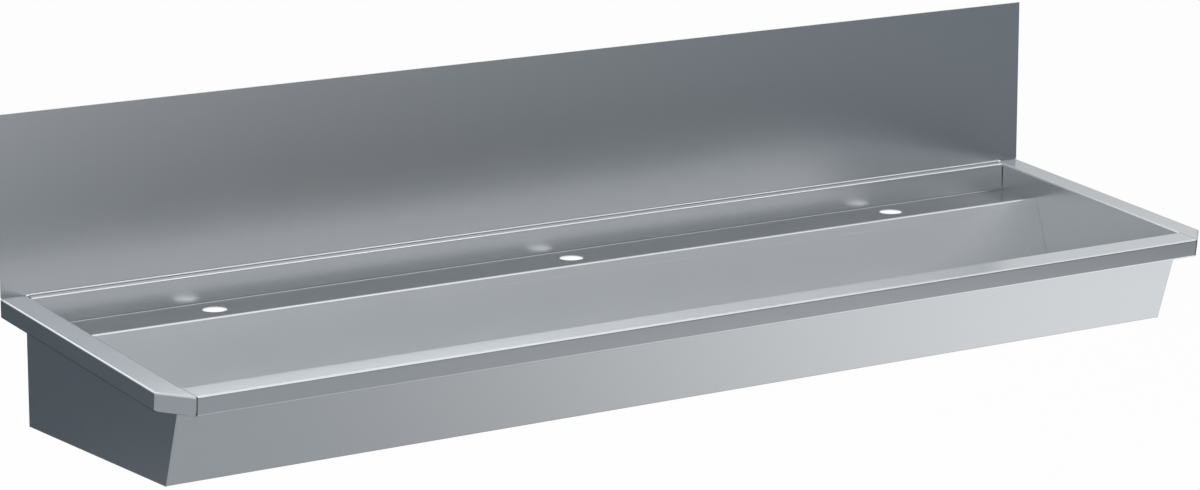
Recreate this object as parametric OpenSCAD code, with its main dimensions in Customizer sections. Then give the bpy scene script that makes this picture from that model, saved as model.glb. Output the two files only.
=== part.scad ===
// Wall-hung wash trough in folded stainless sheet, with a sloping rim, a tap ledge and a splashback.
// Frame: +X to the user's right, -Y out of the wall towards the user, +Z up.
// The origin is on the wall, at mid length, where the rim's sloping plane meets the wall.

/* [Overall] */
// Length over the rim
trough_l = 1800; // [1300:10:2400]
// Thickness of the folded sheet
sheet_t = 1.5; // [1.2:0.1:2]
// Inside radius of every fold
bend_r = 1.5; // [1:0.1:2]
// Gap left at a welded or seated joint
joint_gap = 0.1; // [0.05:0.01:0.2]

/* [Rim] */
// Angle that the rim falls towards the user
rim_tilt = 5.86; // [3:0.01:8]
// Depth of the rim, down its slope
rim_d = 469.3; // [440:0.1:520]
// Width of the front rim
rim_front_w = 40.2; // [34:0.1:46]
// Width of each side rim, out from the end wall
rim_side_w = 38; // [32:0.1:44]
// Height of the skirt under the rim
skirt_h = 27.4; // [22:0.1:34]
// Width of the lip turned in under the skirt
lip_w = 10; // [6:0.5:14]
// Open joint between the front skirt and each corner
skirt_joint = 1.4; // [0.8:0.1:2]

/* [Bowl] */
// Height of the body below the origin
body_h = 184.35; // [165:0.05:220]
// Lean of the front wall and of the back slope
wall_lean = 18; // [12:0.5:22]
// Width of the flange turned in at the foot of both walls
foot_w = 15; // [10:1:20]
// Distance of the bowl's upright back wall from the wall
back_wall_y = 14.3; // [13.5:0.1:18]
// Depth of the tap ledge below the origin
ledge_drop = 43.25; // [38:0.05:52]
// Distance of the tap ledge's front edge from the wall
ledge_front_y = 97.4; // [94:0.1:110]
// Length of the ledge's front turn, down to the seam with the back slope
ledge_turn = 14; // [10:1:20]
// Relief cut at each end of the back wall
end_relief = 2.5; // [1.5:0.1:4]

/* [Bottom] */
// Height of the bottom's level middle above the foot of the body
bottom_lift = 7.35; // [7.2:0.05:12]
// Rise of the bottom from its level middle to each end
bottom_fall = 11.5; // [6:0.5:20]
// Length of the bottom's level middle
bottom_flat_l = 130; // [120:5:200]
// Distance of the waste's centre from the wall
waste_y = 235; // [225:1:265]
// Depth of the pressed dish that the waste sits in
dish_depth = 5; // [4.8:0.1:5.5]
// Radius of the dish's level floor
dish_r = 42; // [41:0.5:46]
// Width of the dish's sloping side
dish_side = 5; // [4:0.5:8]

/* [Splashback] */
// Height of the splashback above the origin
panel_h = 252.2; // [150:0.1:400]
// Thickness of the splashback
panel_t = 1.5; // [1.2:0.1:2]
// Depth of the splashback's tongue below the origin
tongue_drop = 28; // [24:1:32]
// Thickness of the sealing strip behind the rear rim
seal_t = 1.5; // [1.2:0.1:2]
// Height of the rear flange's lower edge below the origin
rear_flange_drop = 26; // [23:1:30]
// Number of studs on the splashback's tongue, evenly spaced over the length
stud_n = 6; // [4:2:8]
// Radius of a splashback stud
stud_r = 2; // [1.5:0.1:2.2]
// Depth of the studs' line below the origin
stud_drop = 17; // [16:0.5:18]

/* [Tap holes] */
// Distance of each outer tap hole from the trough's end; the third hole is at mid length
end_place = 300; // [200:10:340]
// Radius of a tap hole
tap_hole_r = 17.5; // [14:0.5:18]
// Distance of the tap holes from the wall
tap_hole_y = 55.85; // [50:0.05:62]

/* [Wall brackets] */
// Width of a bracket
bracket_w = 45; // [40:1:60]
// Thickness of a bracket's plate
bracket_t = 3; // [2:0.5:4]
// Reach of a bracket's seat, out from the wall
bracket_reach = 86; // [80:1:88]
// Height of a bracket
bracket_h = 112; // [100:1:125]
// Radius of a wall bolt's hole
wall_hole_r = 4.5; // [3.5:0.5:5.5]
// Depth of the upper wall holes below the origin
wall_hole_top = 80; // [75:1:85]
// Distance between the upper and the lower wall holes
wall_hole_pitch = 50; // [40:1:55]
// Distance of the rear seat stud from the wall
seat_stud_rear = 32; // [26:1:36]
// Distance of the front seat stud from the wall
seat_stud_front = 68; // [58:1:74]
// Radius of a seat stud
seat_stud_r = 3; // [2.5:0.5:4]
// Length of a seat stud
seat_stud_l = 15; // [13:1:20]

/* [Waste] */
// Radius of the waste's threaded tail
tail_r = 23.9; // [22:0.1:24]
// Radius of the waste's bore
waste_bore_r = 20; // [17:0.5:20.5]
// Length of the tail's free end, below its relief groove
tail_free_l = 16; // [12:1:24]
// Radius of the waste's flange
waste_flange_r = 38; // [36:0.5:40]
// Thickness of the waste's flange
waste_flange_t = 3; // [2.8:0.1:3.2]
// Thickness of the gasket under the flange
gasket_t = 1.5; // [1:0.1:1.6]
// Thickness of the washer under the bottom
washer_t = 2; // [1.5:0.5:3]
// Thickness of the lock nut
lock_nut_t = 7; // [5:0.5:9]
// Corner radius of the lock nut
lock_nut_r = 35; // [32:0.5:38]
// Radius of the lift-out strainer
strainer_r = 30; // [28:0.5:32]
// Thickness of the strainer's plate
strainer_t = 1.5; // [1:0.1:1.6]
// Radius of a hole in the strainer
strainer_hole_r = 2.2; // [1.5:0.1:2.4]
// Radius of the strainer's knob
knob_r = 4.5; // [3.5:0.5:5]
// Height of the strainer's knob
knob_h = 9; // [6:0.5:12]

/* [Stiffening] */
// Width of the channel under the front rim
channel_w = 30; // [24:1:31]
// Height of that channel
channel_h = 12; // [8:1:18]
// Distance of the channel from the front wall's outer face
channel_offset = 4; // [3:0.5:4.5]
// Distance of each end of the channel from the end wall
channel_inset = 30; // [10:1:80]
// Thickness of a damping pad
pad_t = 3; // [2:0.5:4]
// Width of a damping pad
pad_w = 150; // [100:5:170]
// Distance of a damping pad from the bottom's level middle
pad_inset = 90; // [60:5:120]
// Distance of a damping pad from the end wall
pad_end = 185; // [100:5:220]
// Distance of a damping pad from the foot of the back slope
pad_edge = 12; // [5:1:25]

/* [Earth tag] */
// Length of the earth tag, in from the end wall
tag_l = 26; // [22:1:32]
// Width of the earth tag
tag_w = 20; // [16:1:24]
// Thickness of the earth tag
tag_t = 2; // [1.5:0.5:3]
// Radius of the earth tag's hole
tag_hole_r = 3.25; // [2.5:0.25:4]
// Height of the tag's welded leg
tag_leg = 16; // [12:1:20]
// Distance of the tag's middle from the wall
tag_y = 60; // [45:1:75]
// Depth of the tag below the origin
tag_drop = 150; // [135:1:155]

/* [Hidden] */
$fn = 64;
// Straight pieces that stand for the curve of one fold
bend_n = 8;
// Overrun of every cut
over = 1;

half_l = trough_l / 2;
// Inner and outer face of each end wall
wall_in_x = half_l - rim_side_w - sheet_t;
wall_out_x = half_l - rim_side_w;
// Length that the cut corner takes from the side rim and from the front rim
corner_cut = rim_side_w + sheet_t;
// Outer radius of a fold
fold_r = bend_r + sheet_t;
// End of every sheet that stands between the end walls
span_x = wall_in_x - joint_gap;
// Slope distance of the front wall's inner face at the rim
rim_in_s = rim_d - rim_front_w;
foot_z = -body_h;
// Level middle of the bottom, floor of the dish, and top face of the bottom at its ends
bottom_z = foot_z + bottom_lift;
dish_z = bottom_z - dish_depth;
bottom_end_z = bottom_z + bottom_fall;
ledge_under_z = -ledge_drop - sheet_t;
// Rear face of the tap ledge's rear flange
rear_flange_y = panel_t + seal_t;
// Flange turned in at the rear edge of each end wall, its lower and upper ends
end_flange_w = 18;
end_flange_low = 12;
end_flange_top = 50;
// Clearances: a stud in its hole, and a nut or washer on its thread
stud_play = 0.4;
thread_play = 0.1;
// Splashback nuts, M4
stud_l = 9;
splash_nut_r = 4.04;
splash_nut_t = 3.2;
// Seat nuts and washers, M6
seat_nut_r = 5.77;
seat_nut_t = 5;
seat_washer_r = 6;
seat_washer_t = 1.6;
// Waste: groove between the locked and the free thread, plays and legs
groove_w = 2;
groove_d = 1.4;
strainer_play = 0.4;
strainer_seat = 1.6;
gasket_inset = 1;
dish_hole_play = 0.7;
dish_hole_r = tail_r + dish_hole_play;
backing_r = 32;
flange_bevel_share = 0.5;
leg_n = 3;
leg_w = 4;
leg_t = 1.5;
leg_l = 9;
leg_play = 0.8;
knob_neck_r = 2.5;
knob_neck_h = 3;
knob_bevel_share = 1 / 3;
// Rings of holes in the strainer: radius of each ring as a share of the strainer's, and its holes
strainer_ring_share = [0.3, 0.53, 0.78];
strainer_ring_holes = [6, 12, 18];
// Side of the bracket's foot left square, as a share of its reach
bracket_toe_share = 0.12;

// Places along X: tap holes, splashback studs, and brackets, which stand midway between the tap holes
// and midway between the outer tap holes and the ends
place_xs = [end_place - half_l, 0, half_l - end_place];
stud_xs = [for (i = [0 : stud_n - 1]) (i - (stud_n - 1) / 2) * trough_l / stud_n];
bracket_xs = [end_place / 2 - half_l, (end_place - half_l) / 2,
              (half_l - end_place) / 2, half_l - end_place / 2];
// Places of the seat studs, and the top and the underside of a bracket's seat
seat_places = [for (x = bracket_xs) for (y = [seat_stud_rear, seat_stud_front]) [x, -y]];
seat_top_z = ledge_under_z - joint_gap;
seat_under_z = seat_top_z - bracket_t;
// Levels of the waste, from its flange down, and the underside of the strainer
flange_low_z = dish_z + gasket_t;
flange_top_z = flange_low_z + waste_flange_t;
strainer_z = flange_top_z - strainer_seat;
backing_z = dish_z - sheet_t - joint_gap;
groove_z = backing_z - washer_t - lock_nut_t - 2 * joint_gap;
tail_end_z = groove_z - groove_w - tail_free_l;

// Direction and left-hand normal of a run between two points
function unit(v) = v / norm(v);
function left(v) = [-v[1], v[0]];

// Points of the round at one corner of a folded sheet, on its given face or on the face behind it
function fold(p, q, s, behind) =
    let (u = unit(q - p),
         v = unit(s - q),
         turn = atan2(u[0] * v[1] - u[1] * v[0], u * v),
         side = turn > 0 ? 1 : -1,
         given_r = turn > 0 ? fold_r : bend_r,
         face_r = (turn > 0) == behind ? bend_r : fold_r,
         hub = q - u * given_r * tan(abs(turn) / 2) + side * left(u) * given_r,
         start = atan2(-side * left(u)[1], -side * left(u)[0]))
    [for (i = [0 : bend_n])
        let (a = start + turn * i / bend_n)
        hub + face_r * [cos(a), sin(a)]];

// One whole face of a folded sheet whose given face has the corners pts and whose body lies to their left
function face(pts, behind) =
    let (last = len(pts) - 1,
         shift = behind ? sheet_t : 0)
    concat([pts[0] + shift * left(unit(pts[1] - pts[0]))],
           [for (i = [1 : last - 1]) each fold(pts[i - 1], pts[i], pts[i + 1], behind)],
           [pts[last] + shift * left(unit(pts[last] - pts[last - 1]))]);

function flipped(pts) = [for (i = [len(pts) - 1 : -1 : 0]) pts[i]];

// Outline of a folded sheet
function folded(pts) = concat(face(pts, false), flipped(face(pts, true)));

// A point of the rim, s down its slope and drop below its plane, in Y and Z
function rim_pt(s, drop = 0) =
    [-s * cos(rim_tilt) + drop * sin(rim_tilt), -s * sin(rim_tilt) - drop * cos(rim_tilt)];

// Point of the rim's plane above the distance y from the wall
function rim_at(y) = [-y, -y * tan(rim_tilt)];

// Bowl side of the front wall and of the back slope at height z, and the front wall's outer side
function front_in_y(z) = rim_pt(rim_in_s)[0] + tan(wall_lean) * (rim_pt(rim_in_s)[1] - z);
function front_out_y(z) = front_in_y(z) - sheet_t / cos(wall_lean);
function slope_y(z) = -ledge_front_y + tan(wall_lean) * (z + ledge_drop);

// Where the tap ledge's front turn ends and the back slope begins
function seam_pt(along) =
    [-ledge_front_y - along * sin(wall_lean), -ledge_drop - along * cos(wall_lean)];

// Top face of the bottom at x
function bottom_top(x) =
    bottom_z + bottom_fall * max(0, abs(x) - bottom_flat_l / 2) / (span_x - bottom_flat_l / 2);

// Sweeps a section drawn in Y and Z along X, from one side to the other
module along_x(from, to) translate([from, 0, 0]) rotate([90, 0, 90]) linear_extrude(to - from) children();
// Sweeps a section drawn in X and Z from y = from out to y = to
module along_y(from, to) translate([0, from, 0]) rotate([90, 0, 0]) linear_extrude(from - to) children();
// Lays children, drawn with the rim as their level plane, on the rim
module on_rim() rotate([rim_tilt, 0, 0]) children();
// Colours of the sheet and of the small parts
module steel() color([0.72, 0.74, 0.76]) children();
module polished() color([0.8, 0.81, 0.83]) children();
module zinc() color([0.62, 0.64, 0.66]) children();
module dark_rubber() color([0.12, 0.12, 0.13]) children();

// Front wall, front rim, skirt and lips, folded from one sheet
module front_section() {
    foot = [front_in_y(foot_z + sheet_t), foot_z + sheet_t];
    outline = folded([foot + [foot_w, 0], foot, rim_pt(rim_in_s), rim_pt(rim_d),
                      rim_pt(rim_d, skirt_h), rim_pt(rim_d - lip_w, skirt_h)]);
    steel() difference() {
        along_x(-span_x, span_x) polygon(outline);
        for (side = [-1, 1])
            on_rim() translate([side * span_x - (side < 0 ? over : skirt_joint), -rim_d - over,
                                -skirt_h - over])
                cube([skirt_joint + over, lip_w + 2 * over, skirt_h + over - fold_r]);
    }
}

// Rear flange, rear rim, back wall and tap ledge with its front turn, folded from one sheet
module tap_ledge() {
    outline = folded([[-rear_flange_y, -rear_flange_drop], rim_at(rear_flange_y), rim_at(back_wall_y),
                      [-back_wall_y, -ledge_drop], [-ledge_front_y, -ledge_drop], seam_pt(ledge_turn)]);
    relief_h = ledge_drop + over - fold_r;
    steel() difference() {
        along_x(-span_x, span_x) polygon(outline);
        for (side = [-1, 1])
            translate([side * span_x - (side < 0 ? over : end_relief), -back_wall_y - over,
                       over - relief_h])
                cube([end_relief + over, back_wall_y + over, relief_h]);
        for (x = place_xs)
            translate([x, -tap_hole_y, ledge_under_z - over])
                cylinder(h = sheet_t + 2 * over, r = tap_hole_r);
        for (x = stud_xs)
            translate([x, -rear_flange_y + over, -stud_drop]) rotate([90, 0, 0])
                cylinder(h = sheet_t + 2 * over, r = stud_r + stud_play);
    }
}

// Sloping back of the bowl, with a flange at its foot
module back_slope() {
    foot = [slope_y(foot_z + sheet_t), foot_z + sheet_t];
    steel() along_x(-span_x, span_x)
        polygon(folded([seam_pt(ledge_turn + joint_gap), foot, foot - [foot_w, 0]]));
}

// Bottom of the bowl, falling from both ends to a pressed dish with the waste's hole
module bowl_bottom() {
    level = bottom_flat_l / 2;
    top = [[-span_x, bottom_end_z], [-level, bottom_z], [level, bottom_z], [span_x, bottom_end_z]];
    dish_rim_r = dish_r + dish_side;
    steel() difference() {
        union() {
            difference() {
                intersection() {
                    along_y(-ledge_front_y, -rim_d)
                        polygon(concat(top, [for (p = flipped(top)) p - [0, sheet_t]]));
                    along_x(-half_l, half_l) polygon([
                        [front_in_y(foot_z) + joint_gap, foot_z], [slope_y(foot_z) - joint_gap, foot_z],
                        [slope_y(-ledge_drop) - joint_gap, -ledge_drop],
                        [front_in_y(-ledge_drop) + joint_gap, -ledge_drop]]);
                }
                translate([0, -waste_y, dish_z]) cylinder(h = dish_depth + over, r = dish_rim_r);
            }
            translate([0, -waste_y, 0]) rotate_extrude()
                polygon(folded([[dish_rim_r + fold_r, bottom_z], [dish_rim_r, bottom_z],
                                [dish_r, dish_z], [dish_hole_r - over, dish_z]]));
        }
        translate([0, -waste_y, dish_z - sheet_t - over]) cylinder(h = sheet_t + 2 * over, r = dish_hole_r);
    }
}

// Right-hand end: end wall, side rim, cut corner and skirt, folded from one sheet
module end_piece() {
    cut_s = rim_d - corner_cut;
    mitre = [cos(45 / 2), -sin(45 / 2)];
    bevel_in = fold_r * sqrt(2);
    edge = [[half_l - lip_w, -skirt_h], [half_l, -skirt_h], [half_l, 0], [half_l - 2 * fold_r, 0]];
    corner = [half_l, -cut_s];
    out_pt = corner + 2 * corner_cut * mitre;
    in_pt = corner - 2 * corner_cut * mitre;
    intersection() {
        union() {
            on_rim() {
                // Inner fold from the end wall to the rim
                along_y(over, -rim_in_s)
                    polygon(folded([[wall_in_x + 2 * fold_r, 0], [wall_in_x, 0], [wall_in_x, -skirt_h]]));
                // Outer edge and skirt along the side
                intersection() {
                    along_y(over, -rim_d) polygon(folded(edge));
                    translate([0, 0, -2 * skirt_h]) linear_extrude(3 * skirt_h)
                        polygon([in_pt, out_pt, out_pt + [0, rim_d], in_pt + [0, rim_d]]);
                }
                // Outer edge and skirt across the corner
                intersection() {
                    translate(corner) rotate([0, 0, -45]) translate([-half_l, 0, 0])
                        along_y(corner_cut, -2 * corner_cut) polygon(folded(edge));
                    translate([0, 0, -2 * skirt_h]) linear_extrude(3 * skirt_h)
                        polygon([in_pt, out_pt, [out_pt[0], -rim_d - corner_cut],
                                 [wall_in_x, -rim_d - corner_cut], [wall_in_x, in_pt[1]]]);
                }
                // Flat of the rim
                translate([0, 0, -sheet_t]) linear_extrude(sheet_t) polygon([
                    [wall_in_x + fold_r, over], [half_l - fold_r, over],
                    [half_l - fold_r, -cut_s + bevel_in - fold_r], [wall_in_x, -rim_d + bevel_in],
                    [wall_in_x, -rim_in_s - joint_gap], [wall_in_x + fold_r, -rim_in_s - joint_gap]]);
            }
            // End wall, from the wall to the front wall's outer side
            along_x(wall_in_x, wall_out_x) polygon([
                [over, foot_z], [front_out_y(foot_z), foot_z],
                [front_out_y(rim_pt(rim_in_s, fold_r)[1]), rim_pt(rim_in_s, fold_r)[1]],
                rim_pt(0, fold_r) + [over, over * tan(rim_tilt)]]);
            // Flange against the wall
            translate([wall_out_x - end_flange_w, -sheet_t, foot_z + end_flange_low])
                cube([end_flange_w, sheet_t + over, body_h - end_flange_low - end_flange_top]);
        }
        translate([0, -2 * rim_d, -2 * body_h]) cube([trough_l, 2 * rim_d, 4 * body_h]);
    }
}

module right_end() steel() end_piece();

module left_end() steel() mirror([1, 0, 0]) end_piece();

// Flat splashback with a narrower tongue behind the rear rim
module splashback() {
    steel() along_y(0, -panel_t) polygon([
        [-half_l, joint_gap], [-half_l, panel_h], [half_l, panel_h], [half_l, joint_gap],
        [span_x, joint_gap], [span_x, -tongue_drop], [-span_x, -tongue_drop], [-span_x, joint_gap]]);
}

// Sealing strip between the tongue and the rear flange
module splash_seal() {
    low = -rear_flange_drop;
    high = -fold_r;
    dark_rubber() difference() {
        translate([-span_x + end_relief, -rear_flange_y + joint_gap, low])
            cube([2 * (span_x - end_relief), seal_t - 2 * joint_gap, high - low]);
        for (x = stud_xs)
            translate([x, over, -stud_drop]) rotate([90, 0, 0])
                cylinder(h = rear_flange_y + 2 * over, r = stud_r + stud_play);
    }
}

// Studs on the front of the tongue
module splash_studs() {
    zinc() for (x = stud_xs)
        translate([x, -panel_t, -stud_drop]) rotate([90, 0, 0]) cylinder(h = stud_l, r = stud_r);
}

// Nuts that clamp the rear flange to the tongue
module splash_nuts() {
    zinc() for (x = stud_xs)
        translate([x, -rear_flange_y - sheet_t - joint_gap, -stud_drop]) rotate([90, 0, 0]) difference() {
            cylinder(h = splash_nut_t, r = splash_nut_r, $fn = 6);
            translate([0, 0, -over]) cylinder(h = splash_nut_t + 2 * over, r = stud_r + thread_play);
        }
}

// Bracket that carries the ledge: wall plate, seat and two webs, pressed from one plate
module wall_bracket(i) {
    top = seat_top_z;
    toe = bracket_reach * bracket_toe_share;
    web = [[0, top], [0, top - bracket_h], [-toe, top - bracket_h],
           [-bracket_reach, top - toe], [-bracket_reach, top]];
    zinc() difference() {
        union() {
            translate([bracket_xs[i] - bracket_w / 2, -bracket_t, top - bracket_h])
                cube([bracket_w, bracket_t, bracket_h]);
            translate([bracket_xs[i] - bracket_w / 2, -bracket_reach, top - bracket_t])
                cube([bracket_w, bracket_reach, bracket_t]);
            for (x = [bracket_xs[i] - bracket_w / 2, bracket_xs[i] + bracket_w / 2 - bracket_t])
                along_x(x, x + bracket_t) polygon(web);
        }
        for (drop = [wall_hole_top, wall_hole_top + wall_hole_pitch])
            translate([bracket_xs[i], over, -drop]) rotate([90, 0, 0])
                cylinder(h = bracket_t + 2 * over, r = wall_hole_r);
        for (y = [seat_stud_rear, seat_stud_front])
            translate([bracket_xs[i], -y, top - bracket_t - over])
                cylinder(h = bracket_t + 2 * over, r = seat_stud_r + stud_play);
    }
}

module wall_bracket_1() wall_bracket(0);
module wall_bracket_2() wall_bracket(1);
module wall_bracket_3() wall_bracket(2);
module wall_bracket_4() wall_bracket(3);

// Studs welded under the ledge
module seat_studs() {
    zinc() for (p = seat_places)
        translate([p[0], p[1], ledge_under_z - seat_stud_l]) cylinder(h = seat_stud_l, r = seat_stud_r);
}

module seat_washers() {
    zinc() for (p = seat_places)
        translate([p[0], p[1], seat_under_z - joint_gap - seat_washer_t]) difference() {
            cylinder(h = seat_washer_t, r = seat_washer_r);
            translate([0, 0, -over]) cylinder(h = seat_washer_t + 2 * over, r = seat_stud_r + thread_play);
        }
}

module seat_nuts() {
    zinc() for (p = seat_places)
        translate([p[0], p[1], seat_under_z - 2 * joint_gap - seat_washer_t - seat_nut_t]) difference() {
            cylinder(h = seat_nut_t, r = seat_nut_r, $fn = 6);
            translate([0, 0, -over]) cylinder(h = seat_nut_t + 2 * over, r = seat_stud_r + thread_play);
        }
}

// Channel that stiffens the front rim from below
module front_channel() {
    near = -rim_in_s - sheet_t - channel_offset;
    far = near - channel_w;
    top = -sheet_t - joint_gap;
    zinc() on_rim() along_x(channel_inset - span_x, span_x - channel_inset)
        polygon(folded([[near, top - channel_h], [near, top], [far, top], [far, top - channel_h]]));
}

// Damping pad under the right half of the bottom, or the left half
module damping_pad(side) {
    xs = [bottom_flat_l / 2 + pad_inset, wall_in_x - pad_end];
    top = [for (x = xs) [side * x, bottom_top(x) - sheet_t - joint_gap]];
    rear_y = slope_y(foot_z) - foot_w - pad_edge;
    dark_rubber() along_y(rear_y, rear_y - pad_w)
        polygon(concat(top, [for (p = flipped(top)) p - [0, pad_t]]));
}

module damping_pad_left() damping_pad(-1);
module damping_pad_right() damping_pad(1);

// Waste: flange with a seat for the strainer, and a threaded tail
module waste_body() {
    seat_r = strainer_r + strainer_play;
    bevel = waste_flange_t * flange_bevel_share;
    polished() translate([0, -waste_y, 0]) rotate_extrude() polygon([
        [waste_bore_r, tail_end_z], [tail_r, tail_end_z], [tail_r, groove_z - groove_w],
        [tail_r - groove_d, groove_z - groove_w], [tail_r - groove_d, groove_z], [tail_r, groove_z],
        [tail_r, flange_low_z], [waste_flange_r, flange_low_z],
        [waste_flange_r, flange_top_z - bevel], [waste_flange_r - bevel, flange_top_z],
        [seat_r, flange_top_z], [seat_r, strainer_z], [waste_bore_r, strainer_z]]);
}

// Flat ring round the waste's tail
module tail_ring(low, high, r, hole_r) {
    translate([0, -waste_y, low]) difference() {
        cylinder(h = high - low, r = r);
        translate([0, 0, -over]) cylinder(h = high - low + 2 * over, r = hole_r);
    }
}

module waste_gasket()
    dark_rubber() tail_ring(dish_z + joint_gap, flange_low_z - joint_gap, waste_flange_r - gasket_inset,
                            tail_r + stud_play);

module waste_washer()
    dark_rubber() tail_ring(backing_z - washer_t, backing_z, backing_r, tail_r + stud_play);

module waste_nut() {
    top = backing_z - washer_t - joint_gap;
    zinc() translate([0, -waste_y, top - lock_nut_t]) difference() {
        cylinder(h = lock_nut_t, r = lock_nut_r, $fn = 6);
        translate([0, 0, -over]) cylinder(h = lock_nut_t + 2 * over, r = tail_r + thread_play);
    }
}

// Lift-out strainer plate with legs that centre it in the waste's bore, each between two holes
module strainer() {
    leg_turn = 180 / strainer_ring_holes[1];
    steel() translate([0, -waste_y, strainer_z]) {
        difference() {
            cylinder(h = strainer_t, r = strainer_r);
            for (ring = [0 : len(strainer_ring_share) - 1])
                for (i = [0 : strainer_ring_holes[ring] - 1])
                    rotate([0, 0, i * 360 / strainer_ring_holes[ring]])
                        translate([strainer_r * strainer_ring_share[ring], 0, -over])
                            cylinder(h = strainer_t + 2 * over, r = strainer_hole_r);
        }
        for (i = [0 : leg_n - 1])
            rotate([0, 0, leg_turn + i * 360 / leg_n])
                translate([waste_bore_r - leg_play - leg_t, -leg_w / 2, -leg_l])
                    cube([leg_t, leg_w, leg_l]);
    }
}

// Knob on the strainer: a neck and a head
module strainer_knob() {
    bevel = knob_r * knob_bevel_share;
    steel() translate([0, -waste_y, strainer_z + strainer_t]) rotate_extrude() polygon([
        [0, 0], [knob_neck_r, 0], [knob_neck_r, knob_neck_h], [knob_r, knob_neck_h + bevel],
        [knob_r, knob_h - bevel], [knob_r - bevel, knob_h], [0, knob_h]]);
}

// Angle with a hole for the earth lead, welded inside the left end wall
module earth_tag() {
    low = -tag_drop;
    zinc() translate([joint_gap - wall_in_x, -tag_y - tag_w / 2, low]) difference() {
        union() {
            cube([tag_l, tag_w, tag_t]);
            cube([tag_t, tag_w, tag_leg]);
        }
        translate([tag_l - tag_w / 2, tag_w / 2, -over]) cylinder(h = tag_t + 2 * over, r = tag_hole_r);
    }
}

front_section();
tap_ledge();
back_slope();
bowl_bottom();
left_end();
right_end();
splashback();
splash_seal();
splash_studs();
splash_nuts();
wall_bracket_1();
wall_bracket_2();
wall_bracket_3();
wall_bracket_4();
seat_studs();
seat_washers();
seat_nuts();
front_channel();
damping_pad_left();
damping_pad_right();
waste_body();
waste_gasket();
waste_washer();
waste_nut();
strainer();
strainer_knob();
earth_tag();
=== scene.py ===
import math

import bmesh
import bpy
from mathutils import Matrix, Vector


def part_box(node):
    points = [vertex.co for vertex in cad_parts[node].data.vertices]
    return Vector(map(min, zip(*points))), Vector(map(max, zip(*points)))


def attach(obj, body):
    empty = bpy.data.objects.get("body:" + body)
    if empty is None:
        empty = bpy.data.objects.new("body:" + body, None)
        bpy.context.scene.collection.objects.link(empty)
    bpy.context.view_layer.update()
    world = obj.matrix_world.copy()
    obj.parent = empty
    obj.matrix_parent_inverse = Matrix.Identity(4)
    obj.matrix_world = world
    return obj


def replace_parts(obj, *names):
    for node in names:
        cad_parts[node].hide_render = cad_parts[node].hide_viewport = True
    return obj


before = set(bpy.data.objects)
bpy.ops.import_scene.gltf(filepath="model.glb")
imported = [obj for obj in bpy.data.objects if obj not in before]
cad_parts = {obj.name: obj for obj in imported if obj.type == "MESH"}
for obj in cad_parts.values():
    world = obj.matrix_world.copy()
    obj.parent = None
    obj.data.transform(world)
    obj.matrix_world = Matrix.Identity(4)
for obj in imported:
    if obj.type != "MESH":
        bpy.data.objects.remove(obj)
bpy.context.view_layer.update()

# The trough sink's looks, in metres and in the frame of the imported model.

MM = 0.001

# Camera, solved from the photograph's straight edges
CAMERA_PLACE = (-3.3676, -4.9591, 1.2227)
CAMERA_YAW = 0.6089
CAMERA_PITCH = 0.2066
CAMERA_LENS = 124.29
SENSOR_WIDTH = 36

TROUGH_MIDDLE = (0, -0.25, 0)

# Studio: a floor at the usual mounting height below the rim, and a white room
FLOOR_Z = -0.85
FLOOR_SIZE = 60.0
FLOOR_COLOUR = (0.90, 0.90, 0.90)
FLOOR_GLOW_SHARE = 0.88
ROOM_FILL = 0.95

# Cards that show only in reflections. Their levels say how bright they are, where 1 is white. Below a level
# they are tinted cool, and the more so the darker they are. The levels, spots and bands were set near those
# that a fit to the photograph's tones gave, so they suit the photograph's view best.
COOL_TINT = (0.80, 1.0, 1.20)
COOL_BELOW = 0.65

# The floor card has a plain level, and spots given as x, y, radius and how much they add in their middle
FLOOR_CARD_SIZE = 12.0
FLOOR_CARD_LIFT = 0.02
FLOOR_CARD_LEVEL = 0.52
FLOOR_CARD_SPOTS = (
    (1.75, -1.1, 2.1, 0.82),
    (2.3, -3.0, 2.9, -0.80),
    (-4.5, 2.5, 3.5, -1.0),
    (-0.6, 1.0, 1.6, -0.45),
    (-3.6, -2.0, 1.7, -0.14))

# Upright cards stand round the trough's middle at an azimuth, from a low to a high elevation, in degrees.
# The front bands are one above the other, each with its levels at the left and right edge. The rear card is
# higher than the splashback, and the rims mirror it.
FRONT_CARDS = {"azimuth": 37, "distance": 4.5, "width": 5.0}
FRONT_BANDS = (
    {"low": -9, "high": 0, "levels": (0.90, 0.05)},
    {"low": 0, "high": 9, "levels": (0.08, 0.06)},
    {"low": 9, "high": 18, "levels": (0.17, 0.76)},
    {"low": 18, "high": 27, "levels": (0.20, 1.25)},
    {"low": 27, "high": 40, "levels": (2.4, 2.3)})
LEFT_CARD = {"azimuth": 210, "distance": 2.4, "width": 2.2, "low": -22, "high": 4}
LEFT_LEVEL = 0.125
REAR_CARD = {"azimuth": 140, "distance": 4.0, "width": 5.0, "low": 30, "high": 44}
REAR_LEVEL_TOP = 0.9
REAR_LEVEL_FOOT = 3.7

# Side cards stand behind the wall's line, beside the splashback's right end: name, foot, head and level
SIDE_CARD_X = 1.26
SIDE_CARD_Y = 0.06
SIDE_CARD_WIDTH = 0.70
SIDE_CARDS = (("side_low_card", 0.0, 0.17, 0.86), ("side_high_card", 0.17, 0.80, 1.06))

# The bowl card lies along the front wall, and the hole cards lie just under the tap holes
BOWL_CARD_PLACE = (0, -0.396, -0.112)
BOWL_CARD_SIZE = (1.71, 0.106)
BOWL_CARD_TURN = -72
BOWL_CARD_LEVELS = (0.60, 0.64)
TAP_HOLES_X = (-0.6, 0, 0.6)
HOLE_CARD_Y = -0.0585
HOLE_CARD_Z = -0.0462
HOLE_CARD_SIZE = 0.040
HOLE_CARD_LEVEL = 1.2

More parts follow.
